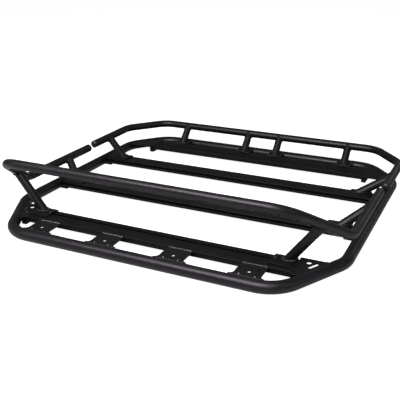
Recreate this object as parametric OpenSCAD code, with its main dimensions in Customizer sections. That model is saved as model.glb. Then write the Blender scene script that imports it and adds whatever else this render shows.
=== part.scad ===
// Flat platform roof rack: a bent tube ring, four slotted planks and a raised front rail.
// X runs across the vehicle, -Y is the front, Z is up and the ring rests on Z = 0.

/* [Lower ring] */
// Outer diameter of the ring's tube
ring_d = 42.4; // [34:0.1:50]
// Half width of the ring, to the side tube's centre line
ring_half_w = 650; // [540:1:760]
// Half length of the ring, to the front and rear tubes' centre lines
ring_half_l = 622; // [516:1:730]
// How far the front chamfers reach in from the side tubes
front_chamfer_w = 143; // [120:1:165]
// How far behind the front tube the front chamfers end
front_chamfer_l = 268; // [230:1:290]
// How far the rear chamfers reach in from the side tubes
rear_chamfer_w = 130; // [110:1:150]
// How far ahead of the rear tube the rear chamfers start
rear_chamfer_l = 157; // [120:1:190]
// Centre line radius of the ring's bends
ring_bend_r = 127; // [80:1:150]

/* [Upper rails] */
// Outer diameter of the two upper rails
rail_d = 33.7; // [25:0.1:40]
// Height of the side arms' centre line above the ground
rail_z = 106; // [95:1:140]
// How far the front rail's side arms lie outside the ring's side tubes
front_rail_outset = 8; // [-5:1:20]
// How far behind the ring's front chamfers the front rail starts to rise
front_rise_back = 32; // [15:1:50]
// How far the raised bar's corner points lie inside the side arms
bar_inset = 138; // [120:1:160]
// How far the raised bar lies behind the ring's front tube
bar_setback = 22; // [0:1:40]
// Height of the raised bar's centre line above the ground
bar_z = 275; // [220:1:320]
// How far the rear rail's side arms lie outside the ring's side tubes
rear_rail_outset = 18; // [0:1:30]
// How far the rear rail's cross tube lies behind the ring's rear tube
rear_rail_overhang = 13; // [0:1:25]
// How far the rear rail's chamfers reach in from its side arms
rear_rail_chamfer_w = 133; // [110:1:155]
// How far ahead of its cross tube the rear rail's chamfers start
rear_rail_chamfer_l = 160; // [130:1:190]
// Middle of the gap between the two rails' arms, behind the rack's middle
rail_gap_mid = 139; // [120:1:160]
// Length of the gap between the two rails' arms
rail_gap_l = 58; // [30:1:80]
// Centre line radius of the rails' bends
rail_bend_r = 100; // [60:1:110]
// Height of the domed caps on the open rail ends
dome_h = 8; // [3:0.5:13]
// How much wider a bend is than the straight tube beside it, in radius
bend_swell = 0.1; // [0.05:0.05:0.4]

/* [Planks] */
// Height of the planks' top faces above the ground
plank_top = 39.2; // [36:0.1:46]
// Width of the front and rear planks
outer_plank_w = 92; // [80:1:100]
// Thickness of the front and rear planks
outer_plank_t = 20; // [18:0.5:24]
// How far the front and rear planks' ends stay inside the ring's side tubes
outer_plank_inset = 135; // [125:1:150]
// Width of the two middle planks
inner_plank_w = 70; // [60:1:84]
// Thickness of the two middle planks
inner_plank_t = 24; // [22:0.5:28]
// Distance of the first plank's front face from the ring's front tube
plank_front_setback = 100; // [92:1:108]
// Distance of the fourth plank's rear face from the ring's rear tube
plank_rear_setback = 75; // [70:1:85]
// Place of the second plank, as a share of the way from the first to the fourth
plank_2_share = 0.3746; // [0.36:0.0001:0.39]
// Place of the third plank, as a share of the way from the first to the fourth
plank_3_share = 0.7298; // [0.72:0.0001:0.74]
// Wall of the planks' hollow chambers
plank_wall = 2.5; // [2:0.1:3]
// Mouth of the fastener slots
slot_mouth = 9; // [7:0.5:10]
// Inner width of the fastener slots
slot_w = 17; // [14:0.5:18]
// Depth of the fastener slots
slot_depth = 10; // [9:0.5:11]
// Thickness of the lips that close the slots
slot_lip = 3; // [2:0.5:4]
// Distance of the top slot's middle from the inner edge of an outer plank
top_slot_inset = 29; // [24:1:34]
// Distance of the side slot's middle below a middle plank's top
side_slot_drop = 9; // [8:0.5:10]

/* [Plates] */
// Thickness of the sheet plates
plate_t = 3; // [2.5:0.5:5]
// How far the plates' tops lie below the planks' tops
plate_drop = 1; // [0:0.5:2]
// How far the outermost front tabs' middles stay inside the front chamfers
tab_end_inset = 108; // [100:1:125]
// Width of each front tab
tab_w = 92; // [80:1:110]
// Fillet radius where a tab widens to meet the front tube
tab_flare_r = 14; // [8:1:20]
// Hole spacing across a tab
tab_hole_x = 54; // [40:1:60]
// Hole spacing along a tab
tab_hole_y = 44; // [36:1:48]
// Distance from the front plank to the middle of a tab's holes
tab_hole_back = 51; // [46:1:54]
// Diameter of a tab's four outer holes
tab_hole_d = 7; // [5:0.5:10]
// Diameter of a tab's middle hole
tab_bore_d = 11; // [9:0.5:16]
// How far the corner plates run past the outer planks' inner faces
corner_overrun = 22; // [16:1:26]
// How far the corner plates run past the outer planks' outer faces
corner_outrun = 8; // [4:1:12]
// Width of the foot block beside an outer plank's end
foot_block_l = 20; // [12:1:21]
// Height of the foot blocks' flat undersides above the ground
foot_block_z = 6; // [3:0.5:10]
// Slot length in a corner plate
corner_slot_l = 44; // [30:1:48]
// Width of the slot in a corner plate
corner_slot_w = 11; // [8:0.5:12]
// Distance of a corner plate's slot from its plank's end
corner_slot_x = 54.5; // [53:0.5:55]
// Distance of a corner plate's slot behind its plank's front face
corner_slot_y = 69; // [68:0.5:71]
// Diameter of the large hole in a corner plate
corner_hole_d = 16; // [12:0.5:18]
// Distance of a corner plate's large hole from its plank's end
corner_hole_x = 36; // [33:0.5:37]
// Distance of a corner plate's large hole behind its plank's front face
corner_hole_y = 85; // [83:0.5:88]
// Diameter of the small hole in a corner plate
corner_pin_d = 9; // [6:0.5:10]
// Distance of a corner plate's small hole from its plank's end
corner_pin_x = 28; // [27:0.5:30]
// Distance of a corner plate's small hole behind its plank's front face
corner_pin_y = 40; // [36:0.5:46]
// Width of each rear tab
rear_tab_w = 70; // [50:1:90]

/* [Posts and brackets] */
// Outer diameter of the six side posts
post_d = 33.7; // [25:0.1:34]
// Outer diameter of the four rear posts
rear_post_d = 33.7; // [20:0.1:34]
// How far the front posts' feet stay inside the ring's side tubes
post_1_foot_inset = 163; // [160:1:175]
// How far up the rising part the front posts' tops are, as a share of it
post_1_rise = 0.47; // [0.3:0.01:0.6]
// How far the middle posts' feet stay inside the ring's side tubes
post_2_foot_inset = 74; // [70:1:90]
// How far the middle posts' tops are behind their feet
post_2_rake = 62; // [20:1:70]
// How far the back posts' feet stay inside the ring's side tubes
post_3_foot_inset = 89; // [80:1:95]
// How far the back posts' tops are behind their feet
post_3_rake = 57; // [30:1:65]
// How far the outer rear posts stay inside the rear chamfers
rear_post_end_inset = 112; // [100:1:140]
// Distance of the inner rear posts from the middle
rear_post_inner = 78; // [60:1:100]
// How far the rear posts' feet lie behind the rear plank's rear face
rear_post_back = 26; // [25:1:30]
// Length of a front saddle along its plank
front_saddle_l = 78; // [60:1:84]
// Length of a middle or back saddle along its plank
side_saddle_l = 84; // [80:1:90]
// How far the middle and back saddles' middles stay inside the ring's side tubes
side_saddle_inset = 90; // [86:1:96]
// Thickness of a saddle plate
saddle_t = 5; // [4:0.5:8]
// How far a saddle's lip hangs down its plank's rear face
saddle_lip = 12; // [8:1:14]
// How far a saddle stays behind the front edge of an outer plank
saddle_inset_outer = 22; // [10:1:30]
// How far a saddle stays behind the front edge of a middle plank
saddle_inset_inner = 4; // [0:1:12]
// How far the front saddles stay inside the front plank's ends
saddle_end_inset = 2; // [1:1:10]
// Distance of the posts' feet from the rear faces of their planks
post_foot_inset = 19; // [17:0.5:24]
// Length of the shoes that carry the middle planks' ends
shoe_l = 36; // [25:1:50]
// Thickness of the shoes
shoe_t = 5; // [4:0.5:6]
// Height of the shoes' side walls above the planks' undersides
shoe_wall = 8; // [5:0.5:9]
// How far the middle planks' ends stay away from the ring's tube
plank_end_gap = 16; // [8:1:24]
// Weld gap between mating pieces
gap = 0.3; // [0.2:0.1:0.5]

/* [Hidden] */
$fn = 64;

powder_black = [0.05, 0.05, 0.055];
plank_black = [0.07, 0.07, 0.075];

ring_r = ring_d / 2;
rail_r = rail_d / 2;
ring_z = ring_r + bend_swell;
front_flat = ring_half_w - front_chamfer_w;
rear_flat = ring_half_w - rear_chamfer_w;
plate_top = plank_top - plate_drop;
plate_z = plate_top - plate_t;
front_side = ring_half_l - front_chamfer_l;
rear_side = ring_half_l - rear_chamfer_l;
front_rail_half_w = ring_half_w + front_rail_outset;
front_rail_corner = front_side - front_rise_back;
front_rail_end = rail_gap_mid - rail_gap_l / 2;
bar_half_w = front_rail_half_w - bar_inset;
bar_front = ring_half_l - bar_setback;
rear_rail_half_w = ring_half_w + rear_rail_outset;
rear_rail_back = ring_half_l + rear_rail_overhang;
rear_rail_flat = rear_rail_half_w - rear_rail_chamfer_w;
rear_rail_start = rail_gap_mid + rail_gap_l / 2;
rail_rear_side = rear_rail_back - rear_rail_chamfer_l;
// Front faces of the four planks, and the places of what stands on them or beside them
outer_plank_half = ring_half_w - outer_plank_inset;
plank_1_y = plank_front_setback - ring_half_l;
plank_4_y = ring_half_l - plank_rear_setback - outer_plank_w;
plank_2_y = plank_1_y + (plank_4_y - plank_1_y) * plank_2_share;
plank_3_y = plank_1_y + (plank_4_y - plank_1_y) * plank_3_share;
tab_pitch = (front_flat - tab_end_inset) / 1.5;
post_1_foot_x = ring_half_w - post_1_foot_inset;
post_2_foot_x = ring_half_w - post_2_foot_inset;
post_3_foot_x = ring_half_w - post_3_foot_inset;
side_saddle_x = ring_half_w - side_saddle_inset;
rear_post_outer = rear_flat - rear_post_end_inset;
// Middle of the rack's overall length
mid_y = (rear_rail_back + rail_r - ring_half_l - ring_r) / 2;
// The straight lengths reach this far into a bend, and a dome sits this far in from the tube's edge
bend_entry = 1;
dome_step = 0.4;
// The thin tips of a post's coped end are cut off this far before the rail's centre line
cope_trim = 0.45 * rail_r;
cope_facets = 16;
seam_turn = 90;
// The ring is welded from four lengths, with the seams past the chamfer bends
seam_front = -(front_side - ring_bend_r / 2);
seam_rear = rear_side - ring_bend_r / 2;

ring_front_path = [
    [-ring_half_w, seam_front, ring_z], [-ring_half_w, -front_side, ring_z],
    [-front_flat, -ring_half_l, ring_z], [front_flat, -ring_half_l, ring_z],
    [ring_half_w, -front_side, ring_z], [ring_half_w, seam_front, ring_z]
];
ring_rear_path = [
    [ring_half_w, seam_rear, ring_z], [ring_half_w, rear_side, ring_z],
    [rear_flat, ring_half_l, ring_z], [-rear_flat, ring_half_l, ring_z],
    [-ring_half_w, rear_side, ring_z], [-ring_half_w, seam_rear, ring_z]
];
front_rail_path = [
    [-front_rail_half_w, front_rail_end, rail_z], [-front_rail_half_w, -front_rail_corner, rail_z],
    [-bar_half_w, -bar_front, bar_z], [bar_half_w, -bar_front, bar_z],
    [front_rail_half_w, -front_rail_corner, rail_z], [front_rail_half_w, front_rail_end, rail_z]
];
rear_rail_path = [
    [rear_rail_half_w, rear_rail_start, rail_z], [rear_rail_half_w, rail_rear_side, rail_z],
    [rear_rail_flat, rear_rail_back, rail_z], [-rear_rail_flat, rear_rail_back, rail_z],
    [-rear_rail_half_w, rail_rear_side, rail_z], [-rear_rail_half_w, rear_rail_start, rail_z]
];

function unit(v) = v / norm(v);
function heading(path, i) = unit(path[i + 1] - path[i]);
function turn(path, i) = acos(heading(path, i - 1) * heading(path, i));
function setback(path, i, r) = (i == 0 || i == len(path) - 1) ? 0 : r * tan(turn(path, i) / 2);

// Puts the middle of the rack's overall length at Y = 0
module placed() {
    translate([0, -mid_y, 0]) children();
}

// A straight round bar from p to q; seam turns it about its own axis
module rod(p, q, d, seam = 0) {
    v = q - p;
    translate(p)
        rotate([0, acos(v[2] / norm(v)), atan2(v[1], v[0])])
            rotate([0, 0, seam])
                cylinder(h = norm(v), d = d);
}

// A bend that starts at s, heads along a and turns towards b through the angle given
module elbow(s, a, b, angle, r, d) {
    n = unit(b - a * (a * b));
    z = cross(a, n);
    c = s + n * r;
    multmatrix([
        [-n[0], a[0], z[0], c[0]],
        [-n[1], a[1], z[1], c[1]],
        [-n[2], a[2], z[2], c[2]],
        [0, 0, 0, 1]
    ])
        rotate_extrude(angle = angle)
            translate([r, 0])
                circle(d = d);
}

// A tube of diameter d bent at each inner point of the path with centre line radius r.
// The straight lengths run a little way into the bends, which are slightly wider.
module bent_tube(path, r, d) {
    last = len(path) - 1;
    for (i = [0 : last - 1]) {
        h = heading(path, i);
        start = i == 0 ? 0 : setback(path, i, r) - bend_entry;
        end = i == last - 1 ? 0 : setback(path, i + 1, r) - bend_entry;
        rod(path[i] + h * start, path[i + 1] - h * end, d);
    }
    for (i = [1 : last - 1]) {
        a = heading(path, i - 1);
        elbow(path[i] - a * setback(path, i, r), a, heading(path, i), turn(path, i), r, d + 2 * bend_swell);
    }
}

// A shallow dome of height h, standing on a tube end at p and facing along v
module dome(p, v, d, h) {
    base_d = d - 2 * dome_step;
    ball_r = (base_d * base_d / 4 + h * h) / (2 * h);
    translate(p)
        rotate([0, acos(v[2] / norm(v)), atan2(v[1], v[0])])
            difference() {
                translate([0, 0, h - ball_r]) sphere(r = ball_r);
                translate([0, 0, -2 * ball_r - dome_step]) cylinder(h = 2 * ball_r, r = 2 * ball_r);
            }
}

module ring_front() {
    color(powder_black) bent_tube(ring_front_path, ring_bend_r, ring_d);
}

module ring_rear() {
    color(powder_black) bent_tube(ring_rear_path, ring_bend_r, ring_d);
}

module ring_side(s) {
    color(powder_black) side_tube(s);
}

module front_rail() {
    color(powder_black) {
        bent_tube(front_rail_path, rail_bend_r, rail_d);
        for (i = [0, 5]) dome(front_rail_path[i], [0, 1, 0], rail_d, dome_h);
    }
}

module rear_rail() {
    color(powder_black) {
        bent_tube(rear_rail_path, rail_bend_r, rail_d);
        for (i = [0, 5]) dome(rear_rail_path[i], [0, -1, 0], rail_d, dome_h);
    }
}

// The ring's side tube from seam to seam, made wider by the weld gap where w is set
module side_tube(s, w = 0) {
    rod([s * ring_half_w, seam_front, ring_z], [s * ring_half_w, seam_rear, ring_z], ring_d + 2 * w);
}

// T-shaped slot, its mouth at the origin and open towards +Y of the sketch
module slot_section() {
    translate([-slot_mouth / 2, -slot_depth]) square([slot_mouth, slot_depth + 1]);
    translate([-slot_w / 2, -slot_depth]) square([slot_w, slot_depth - slot_lip]);
}

// Front or rear plank, with its top slot nearer to the +Y edge of the sketch
module outer_section() {
    slot_y = outer_plank_w - top_slot_inset;
    wide = slot_y - slot_w / 2 - 2 * plank_wall;
    narrow = top_slot_inset - slot_w / 2 - 2 * plank_wall;
    inner_h = outer_plank_t - 2 * plank_wall;
    difference() {
        square([outer_plank_w, outer_plank_t]);
        translate([slot_y, outer_plank_t]) slot_section();
        translate([plank_wall, plank_wall]) square([wide, inner_h]);
        translate([outer_plank_w - plank_wall - narrow, plank_wall]) square([narrow, inner_h]);
    }
}

module inner_section() {
    mid = inner_plank_w - 2 * slot_depth - 2 * plank_wall;
    slot_z = inner_plank_t - side_slot_drop;
    difference() {
        square([inner_plank_w, inner_plank_t]);
        translate([0, slot_z]) rotate(90) slot_section();
        translate([inner_plank_w, slot_z]) rotate(-90) slot_section();
        translate([slot_depth + plank_wall, plank_wall]) square([mid, inner_plank_t - 2 * plank_wall]);
    }
}

// Runs a sketch in Y and Z along X, centred
module along_x(length) {
    rotate([90, 0, 90])
        linear_extrude(height = length, center = true)
            children();
}

module plank_front() {
    color(plank_black)
        translate([0, plank_1_y, plank_top - outer_plank_t])
            along_x(2 * outer_plank_half) outer_section();
}

module plank_rear() {
    color(plank_black)
        translate([0, plank_4_y + outer_plank_w, plank_top - outer_plank_t])
            mirror([0, 1, 0])
                along_x(2 * outer_plank_half) outer_section();
}

inner_plank_half = ring_half_w - ring_r - plank_end_gap;

module inner_plank(y) {
    color(plank_black)
        translate([0, y, plank_top - inner_plank_t])
            along_x(2 * inner_plank_half) inner_section();
}

// Front tab: flat sheet from the front plank to the front tube, with five holes
module tab_front(x) {
    far = plank_1_y - gap;
    near = -ring_half_l;
    hole_y = plank_1_y - tab_hole_back;
    color(powder_black)
        difference() {
            translate([x, 0, plate_z])
                linear_extrude(height = plate_t)
                    difference() {
                        translate([-tab_w / 2 - tab_flare_r, near]) square([tab_w + 2 * tab_flare_r, far - near]);
                        for (s = [-1, 1])
                            translate([s * (tab_w / 2 + tab_flare_r), 0]) {
                                translate([0, near + ring_r + tab_flare_r]) circle(r = tab_flare_r);
                                translate([-tab_flare_r, near + ring_r + tab_flare_r]) square([2 * tab_flare_r, far - near]);
                            }
                    }
            for (sx = [-1, 1])
                for (sy = [-1, 1])
                    translate([x + sx * tab_hole_x / 2, hole_y + sy * tab_hole_y / 2, 0])
                        cylinder(h = 2 * plank_top, d = tab_hole_d);
            translate([x, hole_y, 0]) cylinder(h = 2 * plank_top, d = tab_bore_d);
            rod([-front_flat, -ring_half_l, ring_z], [front_flat, -ring_half_l, ring_z], ring_d + 2 * gap);
        }
}

// Rear tab: flat sheet from the rear plank to the rear tube, under a rear post
module tab_rear(x) {
    near = plank_4_y + outer_plank_w + gap;
    color(powder_black)
        difference() {
            translate([x - rear_tab_w / 2, near, plate_z]) cube([rear_tab_w, ring_half_l - near, plate_t]);
            rod([-rear_flat, ring_half_l, ring_z], [rear_flat, ring_half_l, ring_z], ring_d + 2 * gap);
        }
}

// The end bracket of an outer plank, drawn for the right end: a sheet out to the ring,
// a flange against the plank's end face and a foot block below the sheet.
// inner_y and outer_y are the sheet's edges, edge is its outline along the ring.
module corner_bracket(inner_y, outer_y, edge, plank_y) {
    x0 = outer_plank_half + gap;
    translate([0, 0, plate_z])
        linear_extrude(height = plate_t)
            polygon(concat([[x0, outer_y], [x0, inner_y]], edge));
    translate([x0, plank_y, foot_block_z]) cube([foot_block_l, outer_plank_w, plate_top - foot_block_z]);
}

// Where the front chamfer's centre line crosses a given Y
function front_chamfer_x(y) =
    front_flat + front_chamfer_w * (y + ring_half_l) / front_chamfer_l;

function rear_chamfer_x(y) =
    rear_flat + rear_chamfer_w * (ring_half_l - y) / rear_chamfer_l;

module corner_front() {
    inner_y = plank_1_y + outer_plank_w + corner_overrun;
    outer_y = plank_1_y - corner_outrun;
    edge = [[front_chamfer_x(inner_y), inner_y], [front_chamfer_x(outer_y), outer_y]];
    along = unit([front_chamfer_w, front_chamfer_l]);
    slot_c = [outer_plank_half + corner_slot_x, plank_1_y + corner_slot_y];
    color(powder_black)
        difference() {
            corner_bracket(inner_y, outer_y, edge, plank_1_y);
            bent_tube(ring_front_path, ring_bend_r, ring_d + 2 * gap);
            for (s = [-1, 1])
                translate(concat(slot_c + s * along * (corner_slot_l - corner_slot_w) / 2, 0))
                    cylinder(h = 2 * plank_top, d = corner_slot_w);
            translate(concat(slot_c, plate_top))
                rotate([0, 0, atan2(along[1], along[0])])
                    cube([corner_slot_l - corner_slot_w, corner_slot_w, 4 * plate_t], center = true);
            translate([outer_plank_half + corner_hole_x, plank_1_y + corner_hole_y, 0])
                cylinder(h = 2 * plank_top, d = corner_hole_d);
            translate([outer_plank_half + corner_pin_x, plank_1_y + corner_pin_y, 0])
                cylinder(h = 2 * plank_top, d = corner_pin_d);
        }
}

module corner_rear() {
    inner_y = plank_4_y - corner_overrun;
    outer_y = plank_4_y + outer_plank_w + corner_outrun;
    edge = [[ring_half_w, inner_y], [ring_half_w, rear_side], [rear_chamfer_x(outer_y), outer_y]];
    color(powder_black)
        difference() {
            corner_bracket(inner_y, outer_y, edge, plank_4_y);
            bent_tube(ring_rear_path, ring_bend_r, ring_d + 2 * gap);
            side_tube(1, gap);
        }
}

saddle_z = plank_top + gap;
post_z = saddle_z + saddle_t + gap;

// Saddle plate on a plank with its lip down the plank's rear face
module saddle(x, y0, w, inset, l) {
    color(powder_black)
        translate([x - l / 2, 0, 0]) {
            translate([0, y0 + inset, saddle_z]) cube([l, w - inset + gap + saddle_t, saddle_t]);
            translate([0, y0 + w + gap, saddle_z - saddle_lip]) cube([l, saddle_t, saddle_lip + saddle_t]);
        }
}

saddle_front_x = outer_plank_half - saddle_end_inset - front_saddle_l / 2;

module saddle_front(s) {
    saddle(s * saddle_front_x, plank_1_y, outer_plank_w, saddle_inset_outer, front_saddle_l);
}

module saddle_side(s, y0) {
    saddle(s * side_saddle_x, y0, inner_plank_w, saddle_inset_inner, side_saddle_l);
}

// The space round a rail that a post's end is coped to, with flat facets that clear it by the weld gap
module cope(p, q) {
    v = q - p;
    r = (rail_r + gap) / cos(180 / cope_facets);
    translate(p)
        rotate([0, acos(v[2] / norm(v)), atan2(v[1], v[0])])
            linear_extrude(height = norm(v))
                polygon([for (k = [0 : cope_facets - 1]) r * [cos(360 * k / cope_facets), sin(360 * k / cope_facets)]]);
}

// Post of diameter d from its foot to a rail's centre line, cut flat at the foot and coped to the rail
module post(foot, top, rail_a, rail_b, d) {
    lean = unit(top - foot);
    color(powder_black)
        difference() {
            rod(foot - lean * d, top - lean * cope_trim, d, seam_turn);
            translate([foot[0] - d * 2, foot[1] - d * 2, foot[2] - d * 4]) cube([d * 4, d * 4, d * 4]);
            cope(rail_a, rail_b);
        }
}

// The side posts are drawn for the left side and mirrored for the right
module post_front() {
    corner = [-front_rail_half_w, -front_rail_corner, rail_z];
    bar_end = [-bar_half_w, -bar_front, bar_z];
    foot = [-post_1_foot_x, plank_1_y + outer_plank_w - post_foot_inset, post_z];
    post(foot, corner + (bar_end - corner) * post_1_rise, corner, bar_end, post_d);
}

module post_mid() {
    foot = [-post_2_foot_x, plank_2_y + inner_plank_w - post_foot_inset, post_z];
    top = [-front_rail_half_w, foot[1] + post_2_rake, rail_z];
    arm_a = [-front_rail_half_w, -front_rail_corner, rail_z];
    arm_b = [-front_rail_half_w, front_rail_end, rail_z];
    post(foot, top, arm_a, arm_b, post_d);
}

module post_back() {
    foot = [-post_3_foot_x, plank_3_y + inner_plank_w - post_foot_inset, post_z];
    top = [-rear_rail_half_w, foot[1] + post_3_rake, rail_z];
    arm_a = [-rear_rail_half_w, rear_rail_start, rail_z];
    arm_b = [-rear_rail_half_w, rail_rear_side, rail_z];
    post(foot, top, arm_a, arm_b, post_d);
}

module post_rear(x) {
    foot_y = plank_4_y + outer_plank_w + rear_post_back;
    cross_a = [-rear_rail_flat, rear_rail_back, rail_z];
    cross_b = [rear_rail_flat, rear_rail_back, rail_z];
    post([x, foot_y, plate_top + gap], [x, rear_rail_back, rail_z], cross_a, cross_b, rear_post_d);
}

// Shoe under a middle plank's end, coped to the ring's side tube
module shoe(s, y0) {
    x_in = ring_half_w - ring_r - shoe_l;
    under = plank_top - inner_plank_t - gap;
    wall_y = shoe_t + gap;
    color(powder_black)
        difference() {
            translate([s > 0 ? x_in : -ring_half_w, y0 - wall_y, under - shoe_t])
                cube([ring_half_w - x_in, inner_plank_w + 2 * wall_y, shoe_t + gap + shoe_wall]);
            translate([s > 0 ? x_in - 1 : -(inner_plank_half + gap), y0 - gap, under])
                cube([inner_plank_half + gap - x_in + 1, inner_plank_w + 2 * gap, inner_plank_t]);
            side_tube(s, gap);
        }
}

placed() ring_front();
placed() ring_rear();
placed() ring_side(-1);  // ring_left
placed() ring_side(1);  // ring_right
placed() front_rail();
placed() rear_rail();
placed() plank_front();
placed() inner_plank(plank_2_y);  // plank_mid_front
placed() inner_plank(plank_3_y);  // plank_mid_rear
placed() plank_rear();
placed() tab_front(-1.5 * tab_pitch);  // tab_front_1
placed() tab_front(-0.5 * tab_pitch);  // tab_front_2
placed() tab_front(0.5 * tab_pitch);  // tab_front_3
placed() tab_front(1.5 * tab_pitch);  // tab_front_4
placed() mirror([1, 0, 0]) corner_front();  // corner_front_left
placed() corner_front();  // corner_front_right
placed() mirror([1, 0, 0]) corner_rear();  // corner_rear_left
placed() corner_rear();  // corner_rear_right
placed() tab_rear(-rear_post_outer);  // tab_rear_1
placed() tab_rear(-rear_post_inner);  // tab_rear_2
placed() tab_rear(rear_post_inner);  // tab_rear_3
placed() tab_rear(rear_post_outer);  // tab_rear_4
placed() post_front();  // post_front_left
placed() mirror([1, 0, 0]) post_front();  // post_front_right
placed() post_mid();  // post_mid_left
placed() mirror([1, 0, 0]) post_mid();  // post_mid_right
placed() post_back();  // post_back_left
placed() mirror([1, 0, 0]) post_back();  // post_back_right
placed() post_rear(-rear_post_outer);  // post_rear_1
placed() post_rear(-rear_post_inner);  // post_rear_2
placed() post_rear(rear_post_inner);  // post_rear_3
placed() post_rear(rear_post_outer);  // post_rear_4
placed() saddle_front(-1);  // saddle_front_left
placed() saddle_front(1);  // saddle_front_right
placed() saddle_side(-1, plank_2_y);  // saddle_mid_left
placed() saddle_side(1, plank_2_y);  // saddle_mid_right
placed() saddle_side(-1, plank_3_y);  // saddle_back_left
placed() saddle_side(1, plank_3_y);  // saddle_back_right
placed() shoe(-1, plank_2_y);  // shoe_mid_left
placed() shoe(1, plank_2_y);  // shoe_mid_right
placed() shoe(-1, plank_3_y);  // shoe_back_left
placed() shoe(1, plank_3_y);  // shoe_back_right
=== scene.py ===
import math

import bpy
from mathutils import Matrix, Vector


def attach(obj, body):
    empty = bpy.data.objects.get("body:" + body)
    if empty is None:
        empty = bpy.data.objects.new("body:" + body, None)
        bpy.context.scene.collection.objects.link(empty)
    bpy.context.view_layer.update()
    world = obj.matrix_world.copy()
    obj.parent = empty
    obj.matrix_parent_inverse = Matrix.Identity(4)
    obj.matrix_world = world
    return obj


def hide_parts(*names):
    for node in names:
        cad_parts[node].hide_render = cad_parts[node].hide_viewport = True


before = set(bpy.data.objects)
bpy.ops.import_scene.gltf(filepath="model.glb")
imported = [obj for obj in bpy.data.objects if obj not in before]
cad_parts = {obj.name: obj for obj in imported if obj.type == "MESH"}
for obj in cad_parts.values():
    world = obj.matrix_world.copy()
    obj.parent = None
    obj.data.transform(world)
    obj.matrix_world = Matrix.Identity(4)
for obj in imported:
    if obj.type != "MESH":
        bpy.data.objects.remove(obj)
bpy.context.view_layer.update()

# All sizes are in metres and match the source's, with -Y as the front and Z up.
# MID_Y is the source's Y at the middle of the rack.
MID_Y = 0.004325
WELD_GAP = 0.0003

# Lower ring.
RING_R = 0.0212
RING_Z = 0.0213
RING_BEND = 0.127
RING_HALF_W = 0.650
RING_HALF_L = 0.622
FRONT_CHAMFER_W = 0.143
FRONT_CHAMFER_L = 0.268
REAR_CHAMFER_W = 0.130
REAR_CHAMFER_L = 0.157
RING_FRONT_X = RING_HALF_W - FRONT_CHAMFER_W
RING_FRONT_TURN_Y = FRONT_CHAMFER_L - RING_HALF_L
RING_REAR_X = RING_HALF_W - REAR_CHAMFER_W
RING_REAR_TURN_Y = RING_HALF_L - REAR_CHAMFER_L

# Upper rails. The front rail rises to the raised bar.
RAIL_R = 0.01685
RAIL_Z = 0.106
RAIL_BEND = 0.100
DOME_H = 0.0078
DOME_STEPS = 9
DOME_TIP_R = 0.0002
BAR_Z = 0.275
BAR_X = 0.520
BAR_Y = -0.600
FRONT_RAIL_X = 0.658
FRONT_RISE_Y = -0.322
FRONT_ARM_END_Y = 0.110
REAR_RAIL_X = 0.668
REAR_ARM_END_Y = 0.168
REAR_TURN_Y = 0.475
REAR_BAR_X = 0.535
REAR_BAR_Y = 0.635

# Planks, from front to rear, and their T-slots.
PLANK_Y = (-0.522, -0.1560158, 0.1910146, 0.455)
PLANK_TOP = 0.0392
PLANK_WALL = 0.0025
OUTER_W = 0.092
OUTER_T = 0.020
OUTER_HALF = 0.515
INNER_W = 0.070
INNER_T = 0.024
INNER_HALF = 0.6128
SLOT_MOUTH = 0.009
SLOT_W = 0.017
SLOT_DEPTH = 0.010
SLOT_LIP = 0.003
TOP_SLOT_INSET = 0.029
SIDE_SLOT_DROP = 0.009
LOW_EDGE_R = 0.0012
OUTER_TOP_R = 0.0015
INNER_TOP_R = 0.0016
CHAMBER_R = 0.0008
SLOT_SOFT = [0.0006] + [0.0003] * 6 + [0.0006]

# Plates. A root is how far inside the ring's tube a plate's edge lies, from the tube's axis.
PLATE_TOP = 0.0382
PLATE_T = 0.003
PLATE_EDGE = 0.0006
PLATE_END_R = 0.0015
PLATE_CORNER_R = 0.002
TAB_ROOT = 0.0135
TAB_PITCH = 0.266
TAB_MIDDLE = 2.5
TAB_W = 0.092
TAB_FLARE = 0.014
TAB_FLARE_STEPS = 8
TAB_HOLE_X = 0.054
TAB_HOLE_Y = 0.044
TAB_HOLE_BACK = 0.051
TAB_HOLE_R = 0.0035
TAB_BORE_R = 0.0055
REAR_TAB_W = 0.070
CORNER_OVERRUN = 0.022
CORNER_OUTRUN = 0.008
CORNER_ROOT = 0.0160
CORNER_SLOT = (0.0545, 0.069)
CORNER_SLOT_L = 0.044
CORNER_SLOT_W = 0.011
CORNER_HOLE = (0.036, 0.085)
CORNER_HOLE_R = 0.008
CORNER_PIN = (0.028, 0.040)
CORNER_PIN_R = 0.0045
REAR_SIDE_ROOT = 0.0150
REAR_CHAMFER_ROOT = 0.0185
REAR_PLATE_BEND_R = 0.02
REAR_TURN_INSET = 0.004
REAR_BEAD_START = (0.006, 0.012)
FOOT_BLOCK_L = 0.020
FOOT_BLOCK_Z = 0.006
FOOT_BLOCK_DROP = 0.001
FOOT_BLOCK_SOFT = [0.001, 0.0, 0.0, 0.004]

# Saddles and shoes.
SADDLE_T = 0.005
SADDLE_LIP = 0.012
SADDLE_SOFT = [0.001, 0.001, 0.0055, 0.001, 0.001, 0.0006]
FRONT_SADDLE_L = 0.078
FRONT_SADDLE_X = 0.474
FRONT_SADDLE_INSET = 0.022
SIDE_SADDLE_L = 0.084
SIDE_SADDLE_X = 0.560
SIDE_SADDLE_INSET = 0.004
SHOE_L = 0.036
SHOE_T = 0.005
SHOE_WALL = 0.008
SHOE_ROOT = 0.012
SHOE_SOFT = [0.0045, 0.001, 0.001, 0.0008, 0.0008, 0.001, 0.001, 0.0045]

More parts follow.
